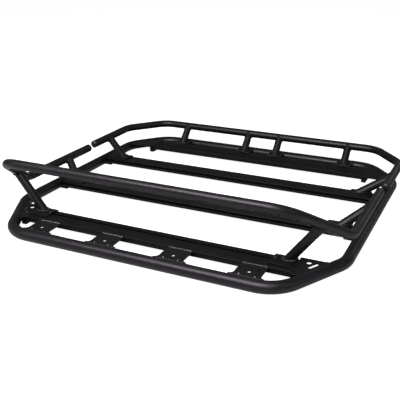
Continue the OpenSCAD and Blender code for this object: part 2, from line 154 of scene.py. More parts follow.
# Bolts: radius and height of the head, radius and thickness of the washer, and where they sit.
SADDLE_BOLT = (0.0062, 0.0042, 0.0088, 0.0014)
SADDLE_EDGE_BOLT = (0.005, 0.0034, 0.0070, 0.0012)
LIP_BOLT = (0.0048, 0.0030, 0.0062, 0.001)
SHOE_BOLT = (0.0055, 0.0036, 0.0080, 0.0014)
SADDLE_BOLT_SHIFT = 0.029
SADDLE_EDGE_BOLT_INSET = 0.009
LIP_BOLT_X = 0.024
LIP_BOLT_DROP = 0.005
SHOE_BOLT_X = 0.014
SHOE_BOLT_INSET = 0.020
BOLT_SIDES = 36
WASHER_SOFT = 0.0002
WASHER_SOFT_SHARE = 0.98
HEAD_WALL = 0.0008
HEAD_CURVE = ((0.55, 0.88), (0.85, 0.66), (1.0, 0.46))
SOCKET_SHARE = 0.40
SOCKET_DEPTH = 0.0024

# Posts.
POST_R = 0.01685
REAR_POST_R = 0.01685
POST_TOP_TRIM = 0.004
POST_END_SLACK = 0.0004
POST_FOOT_BACK = 0.019
FRONT_POST_X = 0.487
FRONT_POST_RISE = 0.47
MIDDLE_POST_X = 0.576
MIDDLE_POST_RAKE = 0.062
BACK_POST_X = 0.561
BACK_POST_RAKE = 0.057
REAR_POST_X = (-0.408, -0.078, 0.078, 0.408)
REAR_POST_BACK = 0.026

# Weld beads: radius of each kind, how far they stand off, and the torch's ripple by length and depth.
TAB_PLANK_BEAD = 0.0044
TAB_RING_BEAD = 0.0028
TAB_UNDER_BEAD = 0.0026
REAR_TAB_PLANK_BEAD = 0.0029
CORNER_BEAD = 0.0028
REAR_CORNER_BEAD = 0.0027
PLANK_END_BEAD = 0.0026
SHOE_BEAD = 0.0024
POST_TOP_BEAD = 0.0036
SIDE_FOOT_BEAD = 0.0042
REAR_FOOT_BEAD = 0.0044
BEAD_OFF = 0.0006
BEAD_LIFT = 0.0002
BEAD_END_INSET = 0.003
SHORT_END_INSET = 0.002
FINE_RIPPLE = (0.0034, 0.13)
TAB_RIPPLE = (0.0072, 0.34)
FOOT_RIPPLE = (0.0055, 0.24)
BEAD_STEP = 0.0009
BEAD_SWAY = ((0.05, 310.0, 0.0), (0.03, 97.0, 1.3))
BEAD_END_SHARE = 0.45
BEAD_END_L = 0.004

# How finely round forms are divided, and the least angle in degrees that stays sharp.
ARC_STEPS = 18
LONG_STEP = 0.05
RING_SIDES = 48
RAIL_SIDES = 44
POST_SIDES = 40
BEAD_SIDES = 10
BEAD_POINTS = 72
HOLE_SIDES = 40
SMALL_HOLE_SIDES = 32
PIN_SIDES = 28
SLOT_END_STEPS = 14
FILLET_STEPS = 5
EDGE_SHARE = 0.49
SHARP = 35.0
PLANK_SHARP = 28.0
BOLT_SHARP = 30.0

# The photograph's camera, in radians, metres and pixels.
CAMERA_YAW = 0.445179
CAMERA_PITCH = 0.382829
CAMERA_ROLL = 0.003762
CAMERA_PLACE = (1.054223, -2.300102, 1.020482)
FOCAL_PIXELS = 666.354422
PHOTO_PIXELS = 400.0
SENSOR_W = 36.0

# Studio. Mirrored rays meet only a part of the white, so that the black coat stays dark.
WHITE = (1.0, 1.0, 1.0, 1.0)
MIRRORED_WHITE = 0.12
WORLD_SHOWN = 0.98
WORLD_PLAIN = 0.02
FLOOR_HALF = 12.0
FLOOR_Z = -0.0005
FLOOR_COLOUR = (0.55, 0.55, 0.55, 1.0)
FLOOR_SHOWN = 0.97

# Lamps: name, place, target, width, height and power.
LAMPS = (
    ("overhead_front_box", (-0.2, -2.0, 2.3), (0.0, -0.5, 0.0), 2.2, 0.7, 122.0),
    ("front_left_box", (-2.6, -2.4, 1.4), (0.0, -0.2, 0.1), 1.0, 1.2, 7.0),
    ("right_box", (3.0, -0.6, 1.5), (0.3, 0.0, 0.1), 1.0, 0.8, 6.0),
    ("beside_camera_box", (1.3, -2.8, 1.7), (-0.4, -0.4, 0.1), 0.5, 0.5, 10.0),
    ("back_right_box", (1.3, 3.0, 1.3), (0.5, 0.0, 0.1), 1.0, 0.5, 2.5),
    ("overhead_fill_box", (0.0, 0.0, 3.6), (0.0, 0.1, 0.0), 2.4, 2.0, 1.5),
)

# Coat: the scales of its noises, the shares they add, and the spans over which they come in.
# SHEEN is the faint violet cast of its sheen.
SHEEN = (0.985, 0.885, 1.0, 1.0)
GRAIN_SCALE = 1100.0
PEEL_SCALE = 430.0
BROAD_SCALE = 14.0
CLOUD_SCALE = 6.0
DUST_SCALE = 9.0
WEAR_SCALE = 120.0
WEAR_WIDTH = 0.0012
LINE_SCALE = 700.0
LINE_STRETCH = (0.004, 1.0, 1.0)
GRAIN_HEIGHT = 0.6
PEEL_HEIGHT = 1.2
BROAD_GLOSS = 0.8
GRAIN_GLOSS = 0.5
GLOSS_SHARE = 0.16
DUST_SHARE = 0.16
DUST_ROUGHNESS = 0.5
DEEP_SHARE = 0.72
EDGE_SPAN = (0.995, 0.86)
WEAR_SPAN = (0.42, 0.66)
UP_SPAN = (0.55, 0.98)
DUST_SPAN = (0.35, 0.75)
CLOUD_SPAN = (0.3, 0.7)

# The mix node's colour sockets go by number, because their names repeat.
MIX_A = 6
MIX_B = 7
MIX_RESULT = 2


def rack(x, y, z):
    """A point given in the source's sizes, moved so that the rack's middle is at Y = 0."""
    return Vector((x, y - MID_Y, z))


# Paths of the bent tubes, by their corner points.
RING_PATH = [
    rack(-RING_HALF_W, RING_FRONT_TURN_Y, RING_Z), rack(-RING_FRONT_X, -RING_HALF_L, RING_Z),
    rack(RING_FRONT_X, -RING_HALF_L, RING_Z), rack(RING_HALF_W, RING_FRONT_TURN_Y, RING_Z),
    rack(RING_HALF_W, RING_REAR_TURN_Y, RING_Z), rack(RING_REAR_X, RING_HALF_L, RING_Z),
    rack(-RING_REAR_X, RING_HALF_L, RING_Z), rack(-RING_HALF_W, RING_REAR_TURN_Y, RING_Z),
]
FRONT_RAIL_PATH = [
    rack(-FRONT_RAIL_X, FRONT_ARM_END_Y, RAIL_Z), rack(-FRONT_RAIL_X, FRONT_RISE_Y, RAIL_Z),
    rack(-BAR_X, BAR_Y, BAR_Z), rack(BAR_X, BAR_Y, BAR_Z),
    rack(FRONT_RAIL_X, FRONT_RISE_Y, RAIL_Z), rack(FRONT_RAIL_X, FRONT_ARM_END_Y, RAIL_Z),
]
REAR_RAIL_PATH = [
    rack(REAR_RAIL_X, REAR_ARM_END_Y, RAIL_Z), rack(REAR_RAIL_X, REAR_TURN_Y, RAIL_Z),
    rack(REAR_BAR_X, REAR_BAR_Y, RAIL_Z), rack(-REAR_BAR_X, REAR_BAR_Y, RAIL_Z),
    rack(-REAR_RAIL_X, REAR_TURN_Y, RAIL_Z), rack(-REAR_RAIL_X, REAR_ARM_END_Y, RAIL_Z),
]


# Surfaces.

def add_node(tree, kind, **values):
    made = tree.nodes.new(kind)
    for key, value in values.items():
        setattr(made, key, value)
    return made


def new_group(name, inputs, outputs):
    """An empty node group with sockets for numbers; returns it, its input node and its output node."""
    group = bpy.data.node_groups.new(name, "ShaderNodeTree")
    for label, value in inputs:
        made = group.interface.new_socket(name=label, in_out="INPUT", socket_type="NodeSocketFloat")
        made.default_value = value
    for label in outputs:
        group.interface.new_socket(name=label, in_out="OUTPUT", socket_type="NodeSocketFloat")
    return group, add_node(group, "NodeGroupInput"), add_node(group, "NodeGroupOutput")


def math_node(tree, operation, a, b=None, clamp=False):
    made = add_node(tree, "ShaderNodeMath", operation=operation, use_clamp=clamp)
    for index, value in enumerate((a, b)):
        if value is None:
            continue
        if isinstance(value, (int, float)):
            made.inputs[index].default_value = value
        else:
            tree.links.new(value, made.inputs[index])
    return made.outputs[0]


def map_range(tree, value, low, high):
    """0 at low and 1 at high, held there beyond them."""
    made = add_node(tree, "ShaderNodeMapRange", clamp=True)
    tree.links.new(value, made.inputs["Value"])
    made.inputs["From Min"].default_value = low
    made.inputs["From Max"].default_value = high
    return made.outputs["Result"]


def noise(tree, vector, scale, detail, roughness):
    made = add_node(tree, "ShaderNodeTexNoise")
    tree.links.new(vector, made.inputs["Vector"])
    if isinstance(scale, (int, float)):
        made.inputs["Scale"].default_value = scale
    else:
        tree.links.new(scale, made.inputs["Scale"])
    made.inputs["Detail"].default_value = detail
    made.inputs["Roughness"].default_value = roughness
    return made.outputs["Fac"]


def about_half(tree, value, gain):
    """How far a noise is from its middle, made stronger or weaker."""
    return math_node(tree, "MULTIPLY", math_node(tree, "SUBTRACT", value, 0.5), gain)


def powder_grain_group():
    """The fine pebbled skin of baked powder coat: its height and how its gloss varies."""
    inputs = (("Grain Scale", GRAIN_SCALE), ("Orange Peel Scale", PEEL_SCALE))
    group, inside, outside = new_group("powder_grain", inputs, ("Height", "Gloss Change"))
    where = add_node(group, "ShaderNodeTexCoord").outputs["Object"]
    fine = noise(group, where, inside.outputs["Grain Scale"], detail=2.0, roughness=0.6)
    peel = noise(group, where, inside.outputs["Orange Peel Scale"], detail=2.0, roughness=0.4)
    broad = noise(group, where, BROAD_SCALE, detail=3.0, roughness=0.55)
    fine_part = math_node(group, "MULTIPLY", fine, GRAIN_HEIGHT)
    peel_part = math_node(group, "MULTIPLY", peel, PEEL_HEIGHT)
    group.links.new(math_node(group, "ADD", fine_part, peel_part), outside.inputs["Height"])
    broad_part = about_half(group, broad, BROAD_GLOSS)
    change = math_node(group, "ADD", broad_part, about_half(group, fine, GRAIN_GLOSS))
    group.links.new(change, outside.inputs["Gloss Change"])
    return group


def edge_wear_group():
    """Where the coat is rubbed thin along outside edges, broken up by noise."""
    inputs = (("Edge Width", WEAR_WIDTH), ("Break Up", WEAR_SCALE))
    group, inside, outside = new_group("edge_wear", inputs, ("Mask",))
    bevel = add_node(group, "ShaderNodeBevel", samples=4)
    group.links.new(inside.outputs["Edge Width"], bevel.inputs["Radius"])
    plain = add_node(group, "ShaderNodeNewGeometry")
    dot = add_node(group, "ShaderNodeVectorMath", operation="DOT_PRODUCT")
    group.links.new(bevel.outputs["Normal"], dot.inputs[0])
    group.links.new(plain.outputs["Normal"], dot.inputs[1])
    edge = map_range(group, dot.outputs["Value"], *EDGE_SPAN)
    where = add_node(group, "ShaderNodeTexCoord").outputs["Object"]
    spots = noise(group, where, inside.outputs["Break Up"], detail=4.0, roughness=0.65)
    mask = math_node(group, "MULTIPLY", edge, map_range(group, spots, *WEAR_SPAN))
    group.links.new(mask, outside.inputs["Mask"])
    return group


def settled_dust_group():
    """A faint film of dust on faces that look up."""
    group, inside, outside = new_group("settled_dust", (("Patch Scale", DUST_SCALE),), ("Mask",))
    plain = add_node(group, "ShaderNodeNewGeometry")
    parts = add_node(group, "ShaderNodeSeparateXYZ")
    group.links.new(plain.outputs["Normal"], parts.inputs[0])
    up = map_range(group, parts.outputs["Z"], *UP_SPAN)
    where = add_node(group, "ShaderNodeTexCoord").outputs["Object"]
    clouds = noise(group, where, inside.outputs["Patch Scale"], detail=6.0, roughness=0.6)
    mask = math_node(group, "MULTIPLY", up, map_range(group, clouds, *DUST_SPAN))
    group.links.new(mask, outside.inputs["Mask"])
    return group


def draw_lines_group():
    """The fine lines that a die leaves along an extruded plank, under the coat."""
    group, inside, outside = new_group("draw_lines", (("Line Scale", LINE_SCALE),), ("Height",))
    coords = add_node(group, "ShaderNodeTexCoord")
    stretch = add_node(group, "ShaderNodeVectorMath", operation="MULTIPLY")
    group.links.new(coords.outputs["Object"], stretch.inputs[0])
    stretch.inputs[1].default_value = LINE_STRETCH
    lines = noise(group, stretch.outputs[0], inside.outputs["Line Scale"], detail=3.0, roughness=0.6)
    group.links.new(lines, outside.inputs["Height"])
    return group


GRAIN = powder_grain_group()
WEAR = edge_wear_group()
DUST = settled_dust_group()
LINES = draw_lines_group()


def mix_colour(tree, factor, a, b):
    made = add_node(tree, "ShaderNodeMix", data_type="RGBA")
    tree.links.new(factor, made.inputs[0])
    for index, value in ((MIX_A, a), (MIX_B, b)):
        if isinstance(value, tuple):
            made.inputs[index].default_value = value
        else:
            tree.links.new(value, made.inputs[index])
    return made.outputs[MIX_RESULT]


def coat_material(name, base, worn, dust, rough, grain, edge, lines, specular, wear):
    """Black powder coat: pebbled grain, cloudy gloss, rubbed edges and a trace of dust.

    grain is the depth of the pebbles and edge the width of the rubbed edges, in metres; lines is
    the share of the die's lines in the height, and wear how much of the worn colour shows.
    """
    material = bpy.data.materials.new(name)
    material.use_nodes = True
    tree = material.node_tree
    shader = tree.nodes["Principled BSDF"]
    pebbles = add_node(tree, "ShaderNodeGroup", node_tree=GRAIN)
    rubbed = add_node(tree, "ShaderNodeGroup", node_tree=WEAR)
    film = add_node(tree, "ShaderNodeGroup", node_tree=DUST)
    rubbed.inputs["Edge Width"].default_value = edge
    where = add_node(tree, "ShaderNodeTexCoord").outputs["Object"]
    cloud = noise(tree, where, CLOUD_SCALE, detail=4.0, roughness=0.6)
    deep = tuple(DEEP_SHARE * c for c in base[:3]) + (1.0,)
    colour = mix_colour(tree, map_range(tree, cloud, *CLOUD_SPAN), deep, base)
    dusty = math_node(tree, "MULTIPLY", film.outputs["Mask"], DUST_SHARE)
    colour = mix_colour(tree, dusty, colour, dust)
    colour = mix_colour(tree, math_node(tree, "MULTIPLY", rubbed.outputs["Mask"], wear), colour, worn)
    tree.links.new(colour, shader.inputs["Base Color"])
    change = math_node(tree, "MULTIPLY", pebbles.outputs["Gloss Change"], GLOSS_SHARE)
    roughness = math_node(tree, "ADD", change, rough)
    dulled = math_node(tree, "MULTIPLY", dusty, DUST_ROUGHNESS)
    roughness = math_node(tree, "ADD", roughness, dulled, clamp=True)
    tree.links.new(roughness, shader.inputs["Roughness"])
    height = pebbles.outputs["Height"]
    if lines > 0.0:
        drawn = add_node(tree, "ShaderNodeGroup", node_tree=LINES)
        height = math_node(tree, "ADD", height, math_node(tree, "MULTIPLY", drawn.outputs["Height"], lines))
    bump = add_node(tree, "ShaderNodeBump")
    bump.inputs["Strength"].default_value = 1.0
    bump.inputs["Distance"].default_value = grain
    tree.links.new(height, bump.inputs["Height"])
    tree.links.new(bump.outputs["Normal"], shader.inputs["Normal"])
    shader.inputs["Metallic"].default_value = 0.0
    shader.inputs["Specular IOR Level"].default_value = specular
    shader.inputs["Specular Tint"].default_value = SHEEN
    return material


TUBE_COAT = coat_material(
    "tube_powder_coat", base=(0.0048, 0.0045, 0.0051, 1.0), worn=(0.050, 0.049, 0.052, 1.0),
    dust=(0.050, 0.048, 0.050, 1.0), rough=0.38, grain=0.00030, edge=0.0010,
    lines=0.0, specular=0.36, wear=0.5)
PLATE_COAT = coat_material(
    "plate_powder_coat", base=(0.0042, 0.0039, 0.0045, 1.0), worn=(0.050, 0.048, 0.052, 1.0),
    dust=(0.045, 0.043, 0.045, 1.0), rough=0.42, grain=0.00026, edge=0.0009,
    lines=0.0, specular=0.22, wear=0.4)
PLANK_COAT = coat_material(
    "plank_powder_coat", base=(0.0036, 0.0034, 0.0039, 1.0), worn=(0.022, 0.021, 0.023, 1.0),
    dust=(0.036, 0.034, 0.036, 1.0), rough=0.48, grain=0.00022, edge=0.0005,
    lines=0.5, specular=0.20, wear=0.3)
WELD_COAT = coat_material(
    "weld_bead_coat", base=(0.0060, 0.0057, 0.0063, 1.0), worn=(0.050, 0.050, 0.052, 1.0),
    dust=(0.050, 0.048, 0.050, 1.0), rough=0.36, grain=0.00012, edge=0.0006,
    lines=0.0, specular=0.30, wear=0.3)
# Painted highlight: a weld coat whose base, worn and dust colours are much lighter than the plain weld
# coat's, so that the welds along the front tabs and at the front posts' feet look as if they catch the light.
HIGHLIGHT_PAINTED_WELD_COAT = coat_material(
    "highlight_painted_weld_coat", base=(0.030, 0.0295, 0.0305, 1.0), worn=(0.140, 0.140, 0.144, 1.0),
    dust=(0.070, 0.068, 0.070, 1.0), rough=0.20, grain=0.00012, edge=0.0006,
    lines=0.0, specular=0.9, wear=0.6)
BOLT_COAT = coat_material(
    "bolt_black_zinc", base=(0.012, 0.012, 0.013, 1.0), worn=(0.16, 0.16, 0.16, 1.0),
    dust=(0.070, 0.068, 0.070, 1.0), rough=0.28, grain=0.00004, edge=0.0005,
    lines=0.0, specular=0.40, wear=0.5)


# Making pieces.

def finish_piece(name, vertices, faces, material, nodes, sharp):
    mesh = bpy.data.meshes.new(name)
    mesh.from_pydata([tuple(v) for v in vertices], [], faces)
    mesh.validate()
    mesh.materials.append(material)
    for polygon in mesh.polygons:
        polygon.use_smooth = True
    mesh.set_sharp_from_angle(angle=math.radians(sharp))
    piece = bpy.data.objects.new(name, mesh)
    bpy.context.scene.collection.objects.link(piece)
    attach(piece, "root")
    if nodes:
        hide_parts(*nodes)


class Shape:
    """Vertices and faces of one piece, gathered from several parts."""

    def __init__(self):
        self.vertices = []
        self.faces = []

    def add(self, vertices, faces):
        start = len(self.vertices)
        self.vertices.extend(Vector(v) for v in vertices)
        self.faces.extend([tuple(i + start for i in face) for face in faces])

    def make(self, name, material, nodes=(), sharp=SHARP):
        finish_piece(name, self.vertices, self.faces, material, nodes, sharp)


def bent_path(corners, bend, closed=False):
    """Points along straight lengths and round bends, from a list of corner points."""
    count = len(corners)
    points = []
    for i, corner in enumerate(corners):
        if not closed and i in (0, count - 1):
            points.append(corner.copy())
            continue
        into = (corner - corners[i - 1]).normalized()
        out = (corners[(i + 1) % count] - corner).normalized()
        angle = into.angle(out)
        setback = bend * math.tan(angle / 2)
        side = (out - into * into.dot(out)).normalized()
        centre = corner - into * setback + side * bend
        for k in range(ARC_STEPS + 1):
            a = angle * k / ARC_STEPS
            points.append(centre - side * bend * math.cos(a) + into * bend * math.sin(a))
    return points


def frames_along(points, closed):
    """A steady pair of side directions at each point of a path."""
    count = len(points)
    tangents = []
    for i in range(count):
        before = points[i - 1] if (closed or i > 0) else points[i]
        after = points[(i + 1) % count] if (closed or i < count - 1) else points[i]
        tangents.append((after - before).normalized())
    up = Vector((0, 0, 1))
    if abs(tangents[0].dot(up)) > 0.9:
        up = Vector((1, 0, 0))
    result = []
    for tangent in tangents:
        across = tangent.cross(up)
        if across.length < 1e-6:
            across = result[-1][1]
        across.normalize()
        up_here = across.cross(tangent).normalized()
        result.append((across, up_here))
        up = up_here if not closed else Vector((0, 0, 1))
    return result


def sweep(shape, points, radii, sides, closed=False):
    """A round section run along points, with its radius given at each of them."""
    vertices = []
    for point, (across, up), radius in zip(points, frames_along(points, closed), radii):
        for k in range(sides):
            a = 2 * math.pi * k / sides
            vertices.append(point + (across * math.cos(a) + up * math.sin(a)) * radius)
    faces = []
    rings = len(points)
    spans = rings if closed else rings - 1
    for i in range(spans):
        j = (i + 1) % rings
        for k in range(sides):
            n = (k + 1) % sides
            faces.append((i * sides + k, i * sides + n, j * sides + n, j * sides + k))
    if not closed:
        faces.append(tuple(range(sides))[::-1])
        faces.append(tuple((rings - 1) * sides + k for k in range(sides)))
    shape.add(vertices, faces)


def domed_ends(points, radius, height):
    """Adds the shallow domed cap to both ends of an open path; returns points and radii."""
    out_points = list(points)
    radii = [radius] * len(points)
    ball = (radius * radius + height * height) / (2 * height)
    widest = math.asin(radius / ball)
    for end in (0, 1):
        tip = out_points[-1] if end else out_points[0]
        inner = out_points[-2] if end else out_points[1]
        way = (tip - inner).normalized()
        cap_points = []
        cap_radii = []
        for k in range(1, DOME_STEPS + 1):
            a = widest * (1 - k / DOME_STEPS)
            reach = ball * math.cos(a) - ball * math.cos(widest)
            cap_points.append(tip + way * reach)
            cap_radii.append(max(ball * math.sin(a), DOME_TIP_R))
        if end:
            out_points += cap_points
            radii += cap_radii
        else:
            out_points = cap_points[::-1] + out_points
            radii = cap_radii[::-1] + radii
    return out_points, radii


def fine_steps(points, step, closed=False):
    """The same path with points no further apart than step."""
    result = []
    count = len(points)
    for i in range(count if closed else count - 1):
        a = points[i]
        b = points[(i + 1) % count]
        parts = max(1, math.ceil((b - a).length / step))
        for k in range(parts):
            result.append(a.lerp(b, k / parts))
    if not closed:
        result.append(points[-1].copy())
    return result


def weld_bead(shape, points, radius, closed=False, ripple=FINE_RIPPLE):
    """A run of weld: a low bead with the even ripples of the torch."""
    length, depth = ripple
    path = fine_steps(points, BEAD_STEP, closed)
    total = 0.0
    radii = []
    for i, point in enumerate(path):
        if i:
            total += (point - path[i - 1]).length
        wave = 0.5 + 0.5 * math.cos(2 * math.pi * total / length)
        sway = sum(share * math.sin(total * rate + start) for share, rate, start in BEAD_SWAY)
        size = radius * (1 - depth + depth * wave + sway)
        if not closed:
            near_end = min(i, len(path) - 1 - i) * BEAD_STEP
            size *= min(1.0, BEAD_END_SHARE + near_end / BEAD_END_L)
        radii.append(size)
    sweep(shape, path, radii, BEAD_SIDES, closed)


def fillet(points, radius):
    """A flat outline with every corner rounded; radius may be a number or one for each corner."""
    result = []
    count = len(points)
    for i in range(count):
        r = radius[i] if isinstance(radius, (list, tuple)) else radius
        here = Vector(points[i])
        if r <= 0:
            result.append(tuple(here))
            continue
        a = Vector(points[i - 1]) - here
        b = Vector(points[(i + 1) % count]) - here
        half = a.angle(b) / 2
        if half > math.radians(89):
            result.append(tuple(here))
            continue
        reach = min(r / math.tan(half), a.length * EDGE_SHARE, b.length * EDGE_SHARE)
        radius_here = reach * math.tan(half)
        a.normalize()
        b.normalize()
        centre = here + (a + b).normalized() * (radius_here / math.sin(half))
        start = here + a * reach - centre
        end = here + b * reach - centre
        sweep_angle = start.angle_signed(end)
        for k in range(FILLET_STEPS + 1):
            turn = Matrix.Rotation(-sweep_angle * k / FILLET_STEPS, 2)
            result.append(tuple(centre + turn @ start))
    return result


def round_hole(x, y, radius, count):
    turns = [2 * math.pi * k / count for k in range(count)]
    return [(x + radius * math.cos(a), y + radius * math.sin(a)) for a in turns]


def long_hole(x, y, length, width, angle):
    """A slot with round ends, its middle at x, y and its length along angle."""
    r = width / 2
    reach = length / 2 - r
    along = Vector((math.cos(angle), math.sin(angle)))
    across = Vector((-along.y, along.x))
    outline = []
    for s in (1, -1):
        middle = Vector((x, y)) + along * reach * s
        for k in range(SLOT_END_STEPS + 1):
            a = -math.pi / 2 + math.pi * k / SLOT_END_STEPS
            p = middle + (along * math.cos(a) + across * math.sin(a)) * r * s
            outline.append(tuple(p))
    return outline


def sheet_solid(shape, loops, thickness, edge, place):
    """Flat outlines with holes made into a plate with rounded edges, then put in place."""
    curve = bpy.data.curves.new("outline", "CURVE")
    curve.dimensions = "2D"
    curve.fill_mode = "BOTH"
    curve.extrude = thickness / 2 - edge
    curve.bevel_depth = edge
    curve.bevel_resolution = 2
    curve.offset = -edge
    for loop in loops:
        spline = curve.splines.new("POLY")
        spline.points.add(len(loop) - 1)
        for point, (x, y) in zip(spline.points, loop):
            point.co = (x, y, 0.0, 1.0)
        spline.use_cyclic_u = True
    holder = bpy.data.objects.new("outline", curve)
    bpy.context.scene.collection.objects.link(holder)
    bpy.context.view_layer.update()
    mesh = bpy.data.meshes.new_from_object(holder.evaluated_get(bpy.context.evaluated_depsgraph_get()))
    vertices = [place @ v.co for v in mesh.vertices]
    faces = [tuple(p.vertices) for p in mesh.polygons]
    shape.add(vertices, faces)
    bpy.data.objects.remove(holder)
    bpy.data.curves.remove(curve)
    bpy.data.meshes.remove(mesh)


def flat_plate(shape, loops):
    """A level plate at the plates' height: its outlines are in the source's X and Y."""
    place = Matrix.Translation(rack(0, 0, PLATE_TOP - PLATE_T / 2))
    sheet_solid(shape, loops, PLATE_T, PLATE_EDGE, place)


def along_x(x_middle, y, z):
    """Turns an outline drawn in Y and Z, with its depth along X, into place."""
    turn = Matrix(((0, 0, 1, 0), (1, 0, 0, 0), (0, 1, 0, 0), (0, 0, 0, 1)))
    return Matrix.Translation(rack(x_middle, y, z)) @ turn


# Tubes.

def make_ring():
    shape = Shape()
    points = fine_steps(bent_path(RING_PATH, RING_BEND, closed=True), LONG_STEP, closed=True)
    sweep(shape, points, [RING_R] * len(points), RING_SIDES, closed=True)
    shape.make("lower_ring_tube", TUBE_COAT,
               ("ring_front", "ring_rear", "ring_left", "ring_right"))


def make_rail(name, corners, node):
    shape = Shape()
    points = fine_steps(bent_path(corners, RAIL_BEND), LONG_STEP)
    points, radii = domed_ends(points, RAIL_R, DOME_H)
    sweep(shape, points, radii, RAIL_SIDES)
    shape.make(name, TUBE_COAT, (node,))


# Planks.

def t_slot(y, z, way):
    """Corner points of a T-shaped slot whose mouth is at y, z; way is "up", "low_y" or "high_y"."""
    m = SLOT_MOUTH / 2
    w = SLOT_W / 2
    sketch = [(-m, 0.0), (-m, -SLOT_LIP), (-w, -SLOT_LIP), (-w, -SLOT_DEPTH),
              (w, -SLOT_DEPTH), (w, -SLOT_LIP), (m, -SLOT_LIP), (m, 0.0)]
    if way == "up":
        return [(y + a, z + b) for a, b in sketch]
    if way == "high_y":
        return [(y + b, z - a) for a, b in sketch]
    return [(y - b, z + a) for a, b in sketch]


def chamber(y0, y1, height):
    """A closed hollow between two walls of a plank."""
    low = PLANK_WALL
    high = height - PLANK_WALL
    return fillet([(y0, low), (y0, high), (y1, high), (y1, low)], CHAMBER_R)


def make_outer_plank(name, y, slot_y, node):
    """Front or rear plank: a slot in its top at slot_y, and a chamber on each side of it."""
    body = [(0, 0), (0, OUTER_T)]
    body += t_slot(slot_y, OUTER_T, "up")
    body += [(OUTER_W, OUTER_T), (OUTER_W, 0)]
    soft = [LOW_EDGE_R, OUTER_TOP_R] + SLOT_SOFT + [OUTER_TOP_R, LOW_EDGE_R]
    low = slot_y - SLOT_W / 2 - PLANK_WALL
    high = slot_y + SLOT_W / 2 + PLANK_WALL
    loops = [fillet(body, soft)]
    loops.append(chamber(PLANK_WALL, low, OUTER_T))
    loops.append(chamber(high, OUTER_W - PLANK_WALL, OUTER_T))
    shape = Shape()
    sheet_solid(shape, loops, 2 * OUTER_HALF, 0.0, along_x(0, y, PLANK_TOP - OUTER_T))
    shape.make(name, PLANK_COAT, (node,), PLANK_SHARP)


def make_inner_plank(name, y, node):
    """Middle plank: a slot along each side, and one chamber between them."""
    z = INNER_T - SIDE_SLOT_DROP
    body = [(0, 0)]
    body += t_slot(0.0, z, "low_y")
    body += [(0, INNER_T), (INNER_W, INNER_T)]
    body += t_slot(INNER_W, z, "high_y")
    body += [(INNER_W, 0)]
    soft = [LOW_EDGE_R] + SLOT_SOFT + [INNER_TOP_R, INNER_TOP_R] + SLOT_SOFT + [LOW_EDGE_R]
    inner = chamber(SLOT_DEPTH + PLANK_WALL, INNER_W - SLOT_DEPTH - PLANK_WALL, INNER_T)
    shape = Shape()
    sheet_solid(shape, [fillet(body, soft), inner], 2 * INNER_HALF, 0.0, along_x(0, y, PLANK_TOP - INNER_T))
    shape.make(name, PLANK_COAT, (node,), PLANK_SHARP)


# Plates.

def ring_edge(z, y_centre, side):
    """Y of the ring's surface at height z, on the side given, for its front or rear tube."""
    return y_centre + side * math.sqrt(RING_R ** 2 - (z - RING_Z) ** 2)


def chamfer_x(y, front):
    """X of the ring's axis on a chamfered corner, at a given Y."""
    if front:
        return RING_FRONT_X + FRONT_CHAMFER_W * (y + RING_HALF_L) / FRONT_CHAMFER_L
    return RING_REAR_X + REAR_CHAMFER_W * (RING_HALF_L - y) / REAR_CHAMFER_L


def flip(loop, s):
    return [(s * x, y) for x, y in loop]


def level_bead(shape, x0, x1, y, z, radius, ripple=FINE_RIPPLE):
    """A straight weld along X."""
    weld_bead(shape, [rack(x0, y, z), rack(x1, y, z)], radius, ripple=ripple)


def tab_outline(x):
    """A front tab, which flares where it meets the ring."""
    near = TAB_ROOT - RING_HALF_L
    far = PLANK_Y[0] - WELD_GAP
    start = RING_R - RING_HALF_L
    half = TAB_W / 2
    flare = []
    for k in range(TAB_FLARE_STEPS + 1):
        a = math.pi / 2 * k / TAB_FLARE_STEPS
        flare.append((half + TAB_FLARE * (1 - math.sin(a)), start + TAB_FLARE * (1 - math.cos(a))))
    wide = half + TAB_FLARE
    outline = [(x - wide, near), (x + wide, near)]
    outline += [(x + dx, y) for dx, y in flare]
    outline += [(x + half, far), (x - half, far)]
    outline += [(x - dx, y) for dx, y in flare[::-1]]
    return outline


def make_front_tab(index):
    x = (index - TAB_MIDDLE) * TAB_PITCH
    hole_y = PLANK_Y[0] - TAB_HOLE_BACK
    loops = [tab_outline(x)]
    for sx in (-1, 1):
        for sy in (-1, 1):
            hole = (x + sx * TAB_HOLE_X / 2, hole_y + sy * TAB_HOLE_Y / 2)
            loops.append(round_hole(*hole, TAB_HOLE_R, SMALL_HOLE_SIDES))
    loops.append(round_hole(x, hole_y, TAB_BORE_R, HOLE_SIDES))
    shape = Shape()
    flat_plate(shape, loops)
    shape.make("front_tab_%d" % index, PLATE_COAT, ("tab_front_%d" % index,))
    # The weld between tab and plank wears the painted-highlight weld coat: its lighter colour stands in for
    # the glint along this seam.
    highlight_weld = Shape()
    half = TAB_W / 2 - BEAD_END_INSET
    level_bead(highlight_weld, x - half, x + half, PLANK_Y[0] - WELD_GAP - BEAD_OFF, PLATE_TOP + BEAD_LIFT,
               TAB_PLANK_BEAD, TAB_RIPPLE)
    highlight_weld.make("front_tab_plank_weld_%d" % index, HIGHLIGHT_PAINTED_WELD_COAT)
    beads = Shape()
    half = TAB_W / 2 + TAB_FLARE - BEAD_END_INSET
    for z, radius in ((PLATE_TOP, TAB_RING_BEAD), (PLATE_TOP - PLATE_T, TAB_UNDER_BEAD)):
        level_bead(beads, x - half, x + half, ring_edge(z, -RING_HALF_L, 1) + BEAD_OFF, z, radius)
    beads.make("front_tab_welds_%d" % index, WELD_COAT)


